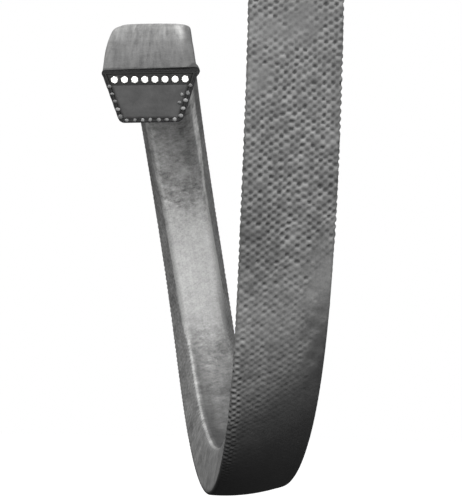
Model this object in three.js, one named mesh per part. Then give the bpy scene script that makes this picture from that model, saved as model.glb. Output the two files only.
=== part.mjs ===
// A wrapped V belt of classical B section, cut square across at both ends so that its section shows.
//
// The belt is a stack of layers that all follow one run: two plies of rubbered cover cloth, a bed of
// gum with eight cords in it, and a rubber core that fills the rest of the wedge. The run starts at
// the upper end (the origin), drops down the front strand, turns round at the bottom, climbs the back
// strand and comes over the top to the second cut end. Millimetres, +Z up, +X along the belt's width.

import * as THREE from "three";

// ---- Section ---------------------------------------------------------------------------------
const TOP_WIDTH = 17; // across the outer face
const BOTTOM_WIDTH = 11; // across the inner face
const THICKNESS = 9.5;
const TOP_CORNER = 0.6; // radius of the two outer edges
const BOTTOM_CORNER = 1.2; // radius of the two inner edges
const PLY = 0.36; // one ply of rubbered cover cloth
const FILM = 0.04; // parting gap between two layers
const BED_FLOOR = 2.7; // depth of the cord bed's underside, below the outer face
const CORD_COUNT = 8;
const CORD_PITCH = 1.76;
const CORD_RADIUS = 0.62;
const CORD_DEPTH = 1.76; // cord centres, below the outer face
const CORD_SIDES = 8;
const CORD_ROLL = 0.5; // part of a side that each cord is rolled by, so that no two edges line up

const FLANK = Math.atan((TOP_WIDTH - BOTTOM_WIDTH) / 2 / THICKNESS); // slope of each flank
const INNER_PLY_INSET = PLY + FILM;
const BODY_INSET = 2 * (PLY + FILM); // where the bed and the core start

// ---- Run -------------------------------------------------------------------------------------
const LEAD = 14; // straight length below the upper end
const BENT_LENGTH = 380; // from the foot of the lead to the cut end
const RUN_LENGTH = LEAD + BENT_LENGTH;
const WALK_STEP = 0.1; // length of one step of the walk along the run

// Lie of the belt beyond the lead, in degrees per centimetre at evenly spaced marks. `bend` turns it
// towards its inner face, `twist` winds it about its own length and `sway` turns it sideways.
const LIE = [
  { bend: 3.4, twist: -1.5, sway: 0.2 }, // foot of the lead
  { bend: 4.6, twist: -0.7, sway: -0.5 },
  { bend: 8.4, twist: -0.4, sway: -0.1 },
  { bend: 10.5, twist: -0.5, sway: -0.5 }, // bottom of the front strand
  { bend: 10.2, twist: -0.1, sway: -0.3 },
  { bend: 9.3, twist: -1.6, sway: 0.9 }, // middle of the back strand
  { bend: 11.6, twist: -1.0, sway: -0.7 },
  { bend: 12.6, twist: -1.1, sway: -0.8 }, // over the top
  { bend: 1.8, twist: 0.8, sway: -0.6 },
  { bend: -0.5, twist: -1.4, sway: -0.2 }, // cut end
];

// The three lengths that the belt flexes between, and the slit that parts them.
const SLIT = 1.6;
const FRONT_FLEX = 146; // along the run, at the foot of the front strand
const END_FLEX = 282; // along the run, where the belt comes over the top
const STATION_GAP = 11; // longest straight stretch between two sections

const LENGTHS = [
  { name: "front", from: 0, to: FRONT_FLEX - SLIT / 2 },
  { name: "back", from: FRONT_FLEX + SLIT / 2, to: END_FLEX - SLIT / 2 },
  { name: "end", from: END_FLEX + SLIT / 2, to: RUN_LENGTH },
];

// ---- Materials -------------------------------------------------------------------------------
const FINISHES = {
  outer_ply: { color: 0x7d7d7c, roughness: 0.85, metalness: 0 },
  inner_ply: { color: 0x5a5a59, roughness: 0.9, metalness: 0 },
  cord_bed: { color: 0x353535, roughness: 0.8, metalness: 0 },
  cord: { color: 0xf2f1ec, roughness: 0.7, metalness: 0 },
  core: { color: 0x4b4b4b, roughness: 0.8, metalness: 0 },
};

// ---- Run: frames along the belt ----------------------------------------------------------------

/** Rates of bend, twist and sway at a distance along the run, in radians per millimetre. */
function rates(distance) {
  const mark = ((distance - LEAD) / BENT_LENGTH) * (LIE.length - 1);
  if (mark < 0) return { bend: 0, twist: 0, sway: 0 };
  const index = Math.min(Math.floor(mark), LIE.length - 2);
  const blend = (name) => {
    const degreesPerCm = THREE.MathUtils.lerp(LIE[index][name], LIE[index + 1][name], mark - index);
    return THREE.MathUtils.degToRad(degreesPerCm) / 10;
  };
  return { bend: blend("bend"), twist: blend("twist"), sway: blend("sway") };
}

/** Walks the run in short steps. Each frame has a point on the outer face's centre line, the
 * direction of travel, the direction across the belt and the outward normal. */
function walkRun() {
  const place = new THREE.Vector3(0, -THICKNESS / 2, 0);
  const along = new THREE.Vector3(0, 0, -1);
  const across = new THREE.Vector3(1, 0, 0);
  const outward = new THREE.Vector3(0, -1, 0);
  const frames = [];
  const steps = Math.round(RUN_LENGTH / WALK_STEP);
  for (let step = 0; step <= steps; step += 1) {
    frames.push({
      place: place.clone(),
      along: along.clone(),
      across: across.clone(),
      outward: outward.clone(),
    });
    const { bend, twist, sway } = rates((step + 0.5) * WALK_STEP);
    const turn = new THREE.Vector3()
      .addScaledVector(across, bend * WALK_STEP)
      .addScaledVector(along, twist * WALK_STEP)
      .addScaledVector(outward, -sway * WALK_STEP);
    const angle = turn.length();
    if (angle > 0) {
      const axis = turn.divideScalar(angle);
      place.addScaledVector(along, WALK_STEP / 2);
      for (const direction of [along, across, outward]) direction.applyAxisAngle(axis, angle);
      place.addScaledVector(along, WALK_STEP / 2);
    } else {
      place.addScaledVector(along, WALK_STEP);
    }
  }
  return frames;
}

const RUN = walkRun();

/** The frame at a distance along the run. */
function frameAt(distance) {
  return RUN[Math.round(distance / WALK_STEP)];
}

/** Evenly spaced distances from one end of a length to the other. The lead's foot is one of them. */
function stationsOf({ from, to }) {
  const legs = from < LEAD ? [[from, LEAD], [LEAD, to]] : [[from, to]];
  const stations = [from];
  for (const [start, stop] of legs) {
    const count = start < LEAD ? 1 : Math.ceil((stop - start) / STATION_GAP);
    for (let k = 1; k <= count; k += 1) stations.push(start + ((stop - start) * k) / count);
  }
  return stations;
}

// ---- Section: outlines in the plane across the belt (x across, y outward, 0 at the outer face) --

/** Rounds a corner with an arc of three points, or keeps it sharp where the radius has run out. */
function roundCorner(corner, before, after, radius) {
  if (radius < 0.05) return [corner];
  const toBefore = before.clone().sub(corner).normalize();
  const toAfter = after.clone().sub(corner).normalize();
  const halfAngle = toBefore.angleTo(toAfter) / 2;
  const tangent = radius / Math.tan(halfAngle);
  const bisector = toBefore.clone().add(toAfter).normalize();
  const middle = radius / Math.sin(halfAngle) - radius;
  return [
    corner.clone().addScaledVector(toBefore, tangent),
    corner.clone().addScaledVector(bisector, middle),
    corner.clone().addScaledVector(toAfter, tangent),
  ];
}

/** A piece of the belt's wedge between two depths, its flanks `inset` inside the belt's own.
 * Counter-clockwise, from the lower left. */
function wedge({ inset, top, bottom, topRadius = 0, bottomRadius = 0 }) {
  const half = (depth) => TOP_WIDTH / 2 - depth * Math.tan(FLANK) - inset / Math.cos(FLANK);
  const corners = [
    new THREE.Vector2(-half(bottom), -bottom),
    new THREE.Vector2(half(bottom), -bottom),
    new THREE.Vector2(half(top), -top),
    new THREE.Vector2(-half(top), -top),
  ];
  const radii = [bottomRadius, bottomRadius, topRadius, topRadius];
  return corners.flatMap((corner, k) =>
    roundCorner(corner, corners[(k + 3) % 4], corners[(k + 1) % 4], radii[k]),
  );
}

/** The whole outline of the belt, `inset` inside its surface. */
function outline(inset) {
  return wedge({
    inset,
    top: inset,
    bottom: THICKNESS - inset,
    topRadius: TOP_CORNER - inset,
    bottomRadius: BOTTOM_CORNER - inset,
  });
}

/** A circle's points round one cord's centre, counter-clockwise. */
function cordCircle(index, radius) {
  const x = (index - (CORD_COUNT - 1) / 2) * CORD_PITCH;
  return Array.from({ length: CORD_SIDES }, (_, k) => {
    const angle = ((k + CORD_ROLL) / CORD_SIDES) * 2 * Math.PI;
    return new THREE.Vector2(x + radius * Math.cos(angle), -CORD_DEPTH + radius * Math.sin(angle));
  });
}

// ---- Solids: a section carried along the run ------------------------------------------------------

/** Carries a section with its holes along a length of the run. Each wall panel is split from its
 * left edge to its right edge whichever way its loop runs, so that two layers that face each other
 * are split on the same diagonal and nest without touching. */
function sweep(contour, holes, length) {
  const loops = [contour, ...holes.map((hole) => hole.slice().reverse())];
  const section = loops.flat();
  const stations = stationsOf(length);
  const positions = stations.flatMap((distance) => {
    const { place, across, outward } = frameAt(distance);
    return section.flatMap(({ x, y }) =>
      place.clone().addScaledVector(across, x).addScaledVector(outward, y).toArray(),
    );
  });

  const indices = [];
  const ring = section.length;
  const isLeft = (a, b) => section[a].x < section[b].x - 1e-9
    || (Math.abs(section[a].x - section[b].x) <= 1e-9 && section[a].y < section[b].y);
  for (let s = 0; s < stations.length - 1; s += 1) {
    const near = s * ring;
    const far = near + ring;
    let first = 0;
    for (const loop of loops) {
      loop.forEach((_, k) => {
        const a = first + k;
        const b = first + ((k + 1) % loop.length);
        if (isLeft(a, b)) {
          indices.push(near + a, near + b, far + b, near + a, far + b, far + a);
        } else {
          indices.push(near + a, near + b, far + a, near + b, far + b, far + a);
        }
      });
      first += loop.length;
    }
  }

  const caps = THREE.ShapeUtils.triangulateShape(loops[0], loops.slice(1));
  const last = (stations.length - 1) * ring;
  for (const [a, b, c] of caps) {
    indices.push(a, c, b);
    indices.push(last + a, last + b, last + c);
  }

  const geometry = new THREE.BufferGeometry();
  geometry.setAttribute("position", new THREE.Float32BufferAttribute(positions, 3));
  geometry.setIndex(indices);
  geometry.computeVertexNormals();
  return geometry;
}

/** Every layer of the belt's section, with its outline and what is cut out of it. */
function layers() {
  const cords = Array.from({ length: CORD_COUNT }, (_, k) => k);
  return [
    {
      name: "outer_ply",
      finish: "outer_ply",
      contour: outline(0),
      holes: [outline(PLY)],
    },
    {
      name: "inner_ply",
      finish: "inner_ply",
      contour: outline(INNER_PLY_INSET),
      holes: [outline(INNER_PLY_INSET + PLY)],
    },
    {
      name: "cord_bed",
      finish: "cord_bed",
      contour: wedge({ inset: BODY_INSET, top: BODY_INSET, bottom: BED_FLOOR }),
      holes: cords.map((k) => cordCircle(k, CORD_RADIUS + FILM)),
    },
    {
      name: "core",
      finish: "core",
      contour: wedge({
        inset: BODY_INSET,
        top: BED_FLOOR + FILM,
        bottom: THICKNESS - BODY_INSET,
        bottomRadius: BOTTOM_CORNER - BODY_INSET,
      }),
      holes: [],
    },
    ...cords.map((k) => ({
      name: `cord_${k + 1}`,
      finish: "cord",
      contour: cordCircle(k, CORD_RADIUS),
      holes: [],
    })),
  ];
}

/** One layer over one length of the belt. */
function layerMesh(layer, length) {
  const material = new THREE.MeshStandardMaterial(FINISHES[layer.finish]);
  const mesh = new THREE.Mesh(sweep(layer.contour, layer.holes, length), material);
  mesh.name = `${layer.name}_${length.name}`;
  return mesh;
}

/** The belt: every layer of the section over each of its three lengths. */
function vBelt() {
  const belt = new THREE.Group();
  for (const length of LENGTHS) {
    for (const layer of layers()) belt.add(layerMesh(layer, length));
  }
  return belt;
}

export default vBelt();
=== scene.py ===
import logging
import math
from dataclasses import dataclass
from enum import Enum
from typing import Any, Callable, Optional, Sequence, Union

import bpy
import numpy as np
from mathutils import Matrix, Vector
from mathutils.geometry import tessellate_polygon


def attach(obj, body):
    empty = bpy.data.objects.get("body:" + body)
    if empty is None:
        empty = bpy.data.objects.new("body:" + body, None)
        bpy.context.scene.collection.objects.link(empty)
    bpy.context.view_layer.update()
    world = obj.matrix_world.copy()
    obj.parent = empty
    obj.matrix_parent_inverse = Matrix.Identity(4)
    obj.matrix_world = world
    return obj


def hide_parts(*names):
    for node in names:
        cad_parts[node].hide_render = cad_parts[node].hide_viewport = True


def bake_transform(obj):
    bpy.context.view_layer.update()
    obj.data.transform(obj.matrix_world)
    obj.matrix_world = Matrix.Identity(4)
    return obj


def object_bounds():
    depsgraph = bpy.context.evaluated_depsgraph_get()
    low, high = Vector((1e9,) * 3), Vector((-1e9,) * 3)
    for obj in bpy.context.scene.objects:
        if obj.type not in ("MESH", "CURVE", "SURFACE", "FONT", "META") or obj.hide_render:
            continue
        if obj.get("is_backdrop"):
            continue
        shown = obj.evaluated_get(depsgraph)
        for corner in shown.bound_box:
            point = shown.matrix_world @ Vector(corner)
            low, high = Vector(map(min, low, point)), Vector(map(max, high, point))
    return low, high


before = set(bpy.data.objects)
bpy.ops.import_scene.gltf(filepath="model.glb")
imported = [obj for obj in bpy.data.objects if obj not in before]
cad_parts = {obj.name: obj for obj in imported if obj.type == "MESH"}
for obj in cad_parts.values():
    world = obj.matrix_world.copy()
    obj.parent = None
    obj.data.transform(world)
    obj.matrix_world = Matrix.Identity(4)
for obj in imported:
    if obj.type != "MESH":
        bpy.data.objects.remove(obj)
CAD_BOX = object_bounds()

# A wrapped V belt of classical B section, cut square across at both ends. Every layer follows one
# run: down the front strand, round the bottom, up the back strand and over the top to the cut end.
# Sizes inside the classes are in millimetres; meshes are in metres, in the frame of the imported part.

LOG = logging.getLogger("v_belt")
MM = 0.001
CENTIMETRE = 10.0
FULL_TURN = 2 * math.pi
SEED = 7

Array = np.ndarray
Triple = tuple[float, float, float]
Material = bpy.types.Material
Mesh = bpy.types.Mesh


class Slot(Enum):
    """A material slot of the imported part."""

    OUTER_PLY = "outer_ply"
    INNER_PLY = "inner_ply"
    CORD_GUM = "cord_gum"
    CORE_RUBBER = "core_rubber"
    CORD_YARN = "cord_yarn"


# ---- Values and directions ------------------------------------------------------------------------


class Profile:
    """A value that changes softly with distance, given at a few places."""

    def __init__(self, *marks: tuple[float, float]) -> None:
        """Keeps the marks, each a place and the value there."""
        self._places, self._values = np.array(marks, dtype=float).T

    def at(self, distance: Array) -> Array:
        """Reads the profile.

        Args:
            distance: Distances to read it at.

        Returns:
            The values there. Beyond the outermost marks they stay the same.
        """
        low = np.clip(np.searchsorted(self._places, distance) - 1, 0, len(self._places) - 2)
        start, stop = self._places[low], self._places[low + 1]
        share = np.clip((distance - start) / (stop - start), 0.0, 1.0)
        rise = (self._values[low + 1] - self._values[low]) * share * share * (3 - 2 * share)
        return self._values[low] + rise


def unit(angle: Union[float, Array]) -> Array:
    """The vector of length 1 that points at each angle."""
    return np.stack([np.cos(angle), np.sin(angle)], axis=-1)


# ---- Section: outlines across the belt ------------------------------------------------------------


@dataclass(frozen=True)
class Spacing:
    """How far apart an outline's points lie on each side, in millimetres."""

    outer: float
    flank: float
    inner: float
    corner_points: int


@dataclass(frozen=True)
class Loop:
    """A closed outline, counter-clockwise, with its outward normals and how far round each is.

    `around` is 0 in the middle of the outer face and grows towards the right-hand flank.
    """

    points: Array
    normals: Array
    around: Array


class Section:
    """The belt's section: sizes that every layer shares and the outlines cut from them."""

    TOP_WIDTH = 17.0
    BOTTOM_WIDTH = 11.0
    THICKNESS = 9.5
    TOP_CORNER = 0.6
    BOTTOM_CORNER = 1.2
    LEAST_CORNER = 0.05
    LEAST_STEP = 1e-4
    PLY = 0.36
    FILM = 0.04
    BED_FLOOR = 2.7
    CORD_COUNT = 8
    CORD_PITCH = 1.76
    CORD_RADIUS = 0.62
    CORD_DEPTH = 1.76
    FLANK = math.atan((TOP_WIDTH - BOTTOM_WIDTH) / 2 / THICKNESS)

    def half_width(self, depth: float, inset: float) -> float:
        """Half the width at a depth below the outer face, `inset` inside the flanks."""
        return self.TOP_WIDTH / 2 - depth * math.tan(self.FLANK) - inset / math.cos(self.FLANK)

    def wedge(
        self, inset: float, top: float, bottom: float, radii: tuple[float, float], spacing: Spacing
    ) -> Loop:
        """Outline of the wedge between two depths.

        Args:
            inset: How far the flanks lie inside the belt's own.
            top: Depth of the upper side.
            bottom: Depth of the lower side.
            radii: Radius of the upper and of the lower corners.
            spacing: How far apart the points lie.

        Returns:
            The outline, from the middle of the lower side.
        """
        low, high = self.half_width(bottom, inset), self.half_width(top, inset)
        corners = [(low, -bottom), (high, -top), (-high, -top), (-low, -bottom)]
        rounding = [radii[1], radii[0], radii[0], radii[1]]
        steps = [spacing.inner, spacing.flank, spacing.outer, spacing.flank, spacing.inner]
        facing = [-math.pi / 2, -self.FLANK, math.pi / 2, math.pi + self.FLANK, 1.5 * math.pi]
        points: list[Array] = []
        angles: list[float] = []

        def side(start: Array, stop: Array, number: int) -> None:
            """Adds the points of one straight side.

            Args:
                start: Its first point.
                stop: Its end, which is left out.
                number: Which side it is, from the middle of the lower side.
            """
            count = max(1, round(float(np.linalg.norm(stop - start)) / steps[number]))
            points.extend(start + (stop - start) * j / count for j in range(count))
            angles.extend([facing[number]] * count)

        middle = np.array([0.0, -bottom])
        here = middle
        for k, (corner, radius) in enumerate(zip(corners, rounding)):
            turn = facing[k + 1] - facing[k]
            ahead = unit(facing[k] + math.pi / 2)
            stop = np.array(corner) - ahead * radius * math.tan(turn / 2)
            side(here, stop, k)
            centre = stop - radius * unit(facing[k])
            bend = facing[k] + turn * np.arange(spacing.corner_points) / spacing.corner_points
            points.extend(centre + radius * unit(bend))
            angles.extend(bend)
            here = centre + radius * unit(facing[k + 1])
        side(here, middle, len(corners))

        outline = np.array(points)
        keep = np.linalg.norm(outline - np.roll(outline, 1, axis=0), axis=1) > self.LEAST_STEP
        outline = outline[keep]
        walked = np.cumsum(np.linalg.norm(np.diff(outline, axis=0, prepend=outline[:1]), axis=1))
        girth = walked[-1] + np.linalg.norm(outline[0] - outline[-1])
        return Loop(outline, unit(np.array(angles)[keep]), girth / 2 - walked)

    def outline(self, inset: float, spacing: Spacing) -> Loop:
        """The whole outline of the belt, `inset` inside its surface."""
        radii = [max(size - inset, self.LEAST_CORNER) for size in (self.TOP_CORNER, self.BOTTOM_CORNER)]
        return self.wedge(inset, inset, self.THICKNESS - inset, tuple(radii), spacing)

    def cord_centre(self, index: int) -> Array:
        """Centre of one cord, counted from the left."""
        return np.array([(index - (self.CORD_COUNT - 1) / 2) * self.CORD_PITCH, -self.CORD_DEPTH])

    def cord_bore(self, index: int, sides: int) -> Array:
        """The hole in the gum round one cord, counter-clockwise."""
        turn = (np.arange(sides) + 0.5) * FULL_TURN / sides
        return self.cord_centre(index) + (self.CORD_RADIUS + self.FILM) * unit(turn)


# ---- Run: where the belt lies ---------------------------------------------------------------------


@dataclass(frozen=True)
class Mark:
    """How the belt lies at one mark, in degrees per centimetre of its length."""

    bend: float
    twist: float
    sway: float


@dataclass(frozen=True)
class Frames:
    """Points on the outer face's centre line with the directions there, one row for each."""

    place: Array
    along: Array
    across: Array
    outward: Array


class Run:
    """The line that the belt follows, walked in short steps from the upper end to the cut end."""

    LEAD = 14.0
    BENT_LENGTH = 380.0
    LENGTH = LEAD + BENT_LENGTH
    STEP = 0.1
    LIE = (
        Mark(3.4, -1.5, 0.2),
        Mark(4.6, -0.7, -0.5),
        Mark(8.4, -0.4, -0.1),
        Mark(10.5, -0.5, -0.5),
        Mark(10.2, -0.1, -0.3),
        Mark(9.3, -1.6, 0.9),
        Mark(11.6, -1.0, -0.7),
        Mark(12.6, -1.1, -0.8),
        Mark(1.8, 0.8, -0.6),
        Mark(-0.5, -1.4, -0.2),
    )

    def __init__(self) -> None:
        """Walks the whole run once and keeps every step."""
        place = np.array([0.0, -Section.THICKNESS / 2, 0.0])
        axes = np.array([[0.0, 0.0, -1.0], [1.0, 0.0, 0.0], [0.0, -1.0, 0.0]])
        places, frames = [place], [axes]
        for bend, twist, sway in self._turns():
            turn = Vector(axes[1] * bend + axes[0] * twist - axes[2] * sway)
            halfway = place + axes[0] * self.STEP / 2
            if turn.length > 0:
                axes = axes @ np.array(Matrix.Rotation(turn.length, 3, turn.normalized())).T
            place = halfway + axes[0] * self.STEP / 2
            places.append(place)
            frames.append(axes)
        self._places, self._axes = np.array(places), np.array(frames)

    def _turns(self) -> Array:
        """Works out how the run turns.

        Returns:
            Bend, twist and sway (steps, 3) of every step, in radians.
        """
        middle = (np.arange(round(self.LENGTH / self.STEP)) + 0.5) * self.STEP
        marks = np.linspace(self.LEAD, self.LENGTH, len(self.LIE))
        columns = []
        for name in ("bend", "twist", "sway"):
            rates = [math.radians(getattr(mark, name)) / CENTIMETRE for mark in self.LIE]
            columns.append(np.where(middle < self.LEAD, 0.0, np.interp(middle, marks, rates)))
        return np.stack(columns, axis=1) * self.STEP

    def at(self, distances: Array) -> Frames:
        """Frames at distances along the run.

        Args:
            distances: Distances from the upper end, in millimetres.

        Returns:
            The frames there, in millimetres.
        """
        index = np.clip(distances / self.STEP, 0, len(self._places) - 1)
        low = np.minimum(index.astype(int), len(self._places) - 2)
        share = (index - low)[:, None]
        place = self._places[low] * (1 - share) + self._places[low + 1] * share
        axes = self._axes[low] * (1 - share[..., None]) + self._axes[low + 1] * share[..., None]
        return Frames(place, axes[:, 0], axes[:, 1], axes[:, 2])

    def point(self, distance: float) -> Vector:
        """The cord line's point at a distance along the run, in metres."""
        frames = self.at(np.array([distance]))
        return Vector((frames.place[0] - frames.outward[0] * Section.CORD_DEPTH) * MM)


@dataclass(frozen=True)
class Length:
    """One length of the belt: the bodies that it belongs to and where it lies on the run."""

    name: str
    start: float
    stop: float
    bodies: tuple[str, ...]
    blend_from: float = 0.0
    blend_to: float = 0.0

    def rows(self, spacing: float) -> Array:
        """Evenly spaced distances from one end of the length to the other."""
        count = max(1, round((self.stop - self.start) / spacing))
        return np.linspace(self.start, self.stop, count + 1)

    def hand_over(self, piece: bpy.types.Object, run: Run, node: str, slot: Slot) -> None:
        """Puts a piece in the place of its plain solid; a piece of one body is attached to that body, a
        piece of two is only set in place.

        Args:
            piece: The finished piece.
            run: The line that the belt follows.
            node: What its plain solids are called, without the length's name.
            slot: Its material slot; not used.
        """
        if len(self.bodies) == 1:
            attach(piece, self.bodies[0])
        else:
            start, end = run.point(self.blend_from), run.point(self.blend_to)
            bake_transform(piece)
        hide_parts(f"{node}_{self.name}")


LENGTHS = (
    Length("front", 0.0, 206.0, ("front", "back"), blend_from=86.0, blend_to=188.0),
    Length("back", 206.0, 224.0, ("back",)),
    Length("end", 224.0, Run.LENGTH, ("back", "end"), blend_from=240.0, blend_to=336.0),
)


class Form:
    """How the section gives way along the belt: it is crowned, and its edges are rounded."""

    # By distance along the belt.
    CROWN = Profile((50, 0.0), (144, 0.95), (205, 0.0), (290, 0.0), (335, 0.25), (384, 0.0))
    WIDEN = Profile(
        (4, 0.0), (25, 0.10), (80, 0.30), (150, 0.15), (320, 0.12), (370, 0.2), (392, 0.0)
    )
    BULGE = Profile((60, 0.0), (146, 0.40), (200, 0.0))
    LEAN = Profile((90, 0.0), (146, 0.20), (200, 0.0))
    SHOULDER = Profile((285, 0.0), (330, 0.60), (386, 0.0))
    RIM = Profile((60, 0.0), (150, 0.20), (230, 0.40), (290, 0.40), (384, 0.0))

    # By depth below the outer face, by distance from the middle and by distance from a lower corner.
    TOP_DEPTH = Profile((0.0, 1.0), (6.0, 0.0))
    SHOULDER_DEPTH = Profile((0.0, 1.0), (3.2, 0.0))
    SHOULDER_WIDTH = Profile((5.2, 0.0), (8.4, 1.0))
    SHOULDER_POWER = 1.5
    LEAN_WIDTH = 8.0
    RIM_REACH = Profile((0.0, 1.0), (2.2, 0.0))
    RIM_INWARD = 0.6
    RIM_UPWARD = 0.8

    def __init__(self, run: Run, section: Section) -> None:
        """Keeps the run and the section."""
        self.run = run
        self.section = section

    def settled(self, points: Array, rows: Array) -> Array:
        """Section points as they lie at each distance.

        Args:
            points: Points (n, 2) of the plain section, in millimetres.
            rows: Distances along the belt.

        Returns:
            Points (rows, n, 2) across and outward.
        """
        section, far = self.section, rows[:, None]
        x, y = points[None, :, 0], points[None, :, 1]
        top = self.TOP_DEPTH.at(-y)
        arch = np.maximum(1.0 - (x / section.TOP_WIDTH * 2) ** 2, 0.0)
        rise = (self.CROWN.at(far) * arch + self.BULGE.at(far)) * top
        rise = rise - self.LEAN.at(far) * x / self.LEAN_WIDTH * top
        edge = self.SHOULDER_WIDTH.at(np.abs(x)) ** self.SHOULDER_POWER * self.SHOULDER_DEPTH.at(-y)
        rise = rise - self.SHOULDER.at(far) * edge
        corner = section.half_width(section.THICKNESS, 0.0)
        pull = self.RIM.at(far) * self.RIM_REACH.at(np.hypot(np.abs(x) - corner, y + section.THICKNESS))
        spread = self.WIDEN.at(far) * x / (section.TOP_WIDTH / 2)
        across = x + spread - np.sign(x) * pull * self.RIM_INWARD
        return np.stack([across, y + rise + pull * self.RIM_UPWARD], axis=-1)

    def sweep(self, points: Array, rows: Array) -> Array:
        """Carries section points along the belt.

        Args:
            points: Points (n, 2) of the plain section, in millimetres.
            rows: Distances along the belt.

        Returns:
            Points (rows, n, 3) in metres.
        """
        frames = self.run.at(rows)
        lying = self.settled(points, rows)
        across = frames.across[:, None] * lying[..., :1]
        outward = frames.outward[:, None] * lying[..., 1:]
        return (frames.place[:, None] + across + outward) * MM


# ---- Meshes ---------------------------------------------------------------------------------------


class Draft:
    """Vertices and faces of one piece, before it becomes a Blender mesh."""

    def __init__(self) -> None:
        """Starts an empty draft."""
        self.points: list[Array] = []
        self.faces: list[Array] = []
        self.cut: list[Array] = []
        self.count = 0

    def wall(self, grid: Array, inward: bool = False) -> Array:
        """Adds a wall round the section.

        Args:
            grid: Points (rows, columns, 3); the last column joins the first.
            inward: Whether its faces look towards the section's middle.

        Returns:
            The vertex numbers (rows, columns).
        """
        rows, columns = grid.shape[:2]
        index = self.count + np.arange(rows * columns).reshape(rows, columns)
        self.points.append(grid.reshape(-1, 3))
        self.count += rows * columns
        near, far = index[:-1], index[1:]
        quads = np.stack([near, np.roll(near, -1, 1), np.roll(far, -1, 1), far], axis=-1)
        quads = quads.reshape(-1, 4)
        self.faces.append(quads[:, ::-1] if inward else quads)
        self.cut.append(np.zeros(len(quads)))
        return index

    def cap(self, loops: Sequence[Array], rims: Sequence[Array], forward: bool) -> None:
        """Closes an end between an outline and the holes in it.

        Args:
            loops: Section points, the outline first.
            rims: Their vertex numbers.
            forward: Whether the cap looks along the run, not back along it.
        """
        flat = np.concatenate(loops)
        outlines = [[Vector((x, y, 0.0)) for x, y in points] for points in loops]
        triangles = []
        for a, b, c in tessellate_polygon(outlines):
            ab, ac = flat[b] - flat[a], flat[c] - flat[a]
            left = ab[0] * ac[1] - ab[1] * ac[0] > 0
            triangles.append((a, b, c) if left == forward else (a, c, b))
        self.faces.append(np.concatenate(rims)[np.array(triangles)])
        self.cut.append(np.ones(len(triangles)))

    def close(self, loops: Sequence[Array], walls: Sequence[Array]) -> None:
        """Closes both ends, given section points and the vertex numbers of their walls."""
        for end in (0, -1):
            self.cap(loops, [wall[end] for wall in walls], forward=end == -1)

    def mesh(self, name: str, values: dict[str, Array]) -> Mesh:
        """Makes the Blender mesh.

        Args:
            name: The mesh's name.
            values: Named values, one number or vector for each vertex.

        Returns:
            The mesh, smooth, with a `cut` value of 1 on the faces that close its ends.
        """
        mesh = bpy.data.meshes.new(name)
        corners = np.concatenate([face.reshape(-1) for face in self.faces])
        sizes = np.concatenate([np.full(len(face), face.shape[1]) for face in self.faces])
        mesh.vertices.add(self.count)
        mesh.vertices.foreach_set("co", np.concatenate(self.points).astype(np.float32).ravel())
        mesh.loops.add(len(corners))
        mesh.loops.foreach_set("vertex_index", corners.astype(np.int32))
        mesh.polygons.add(len(sizes))
        starts = np.concatenate([[0], np.cumsum(sizes)[:-1]])
        mesh.polygons.foreach_set("loop_start", starts.astype(np.int32))
        mesh.update(calc_edges=True)
        mesh.shade_smooth()
        cut = mesh.attributes.new("cut", "FLOAT", "FACE")
        cut.data.foreach_set("value", np.concatenate(self.cut).astype(np.float32))
        for key, value in values.items():
            kind, item = ("FLOAT_VECTOR", "vector") if value.ndim == 2 else ("FLOAT", "value")
            attribute = mesh.attributes.new(key, kind, "POINT")
            attribute.data.foreach_set(item, value.astype(np.float32).ravel())
        return mesh


def finish_piece(
    name: str, mesh: Mesh, finish: Optional[Material] = None, sharp_degrees: float = 62.0
) -> bpy.types.Object:
    """Makes an object of a final mesh at the origin, with its cut edges sharp.

    Args:
        name: The piece's name.
        mesh: Its mesh.
        finish: Its material, unless it has grown with one.
        sharp_degrees: Edges that turn more than this are sharp.

    Returns:
        The piece.
    """
    mesh.set_sharp_from_angle(angle=math.radians(sharp_degrees))
    mesh.name = name
    if finish:
        mesh.materials.append(finish)
    piece = bpy.data.objects.new(name, mesh)
    bpy.context.scene.collection.objects.link(piece)
    LOG.info("%s: %d faces", name, len(mesh.polygons))
    return piece


# ---- Node trees -----------------------------------------------------------------------------------

Number = Union["Wire", float]
Operator = Callable[["Wire", Number], "Wire"]


def operators(operation: str) -> tuple[Operator, Operator]:
    """Makes an operator of a wire and its reflected form.

    Args:
        operation: The Math node's operation.

    Returns:
        The operator with the wire on the left, and the one with the wire on the right.
    """

    def on_left(wire: "Wire", other: Number) -> "Wire":
        """Adds the node with the wire's value first."""
        return wire.tree.maths(operation, wire, other)

    def on_right(wire: "Wire", other: Number) -> "Wire":
        """Adds the node with the wire's value last."""
        return wire.tree.maths(operation, other, wire)

    return on_left, on_right


class Wire:
    """One output socket. Its operators add the Math nodes of an expression on values."""

    __add__, __radd__ = operators("ADD")
    __sub__, __rsub__ = operators("SUBTRACT")
    __mul__, __rmul__ = operators("MULTIPLY")
    __truediv__, __rtruediv__ = operators("DIVIDE")
    __pow__, __rpow__ = operators("POWER")

    def __init__(self, tree: "Tree", socket: bpy.types.NodeSocket) -> None:
        """Wraps a socket of a tree."""
        self.tree = tree
        self.socket = socket

    def maths(self, operation: str, *others: Number) -> "Wire":
        """Adds a Math node whose first value is this socket."""
        return self.tree.maths(operation, self, *others)

    def clamp(self) -> "Wire":
        """The value held between 0 and 1."""
        return self.maths("MINIMUM", 1.0).maths("MAXIMUM", 0.0)


Settings = dict[str, Any]
Sockets = dict[Union[str, int], Any]


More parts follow.
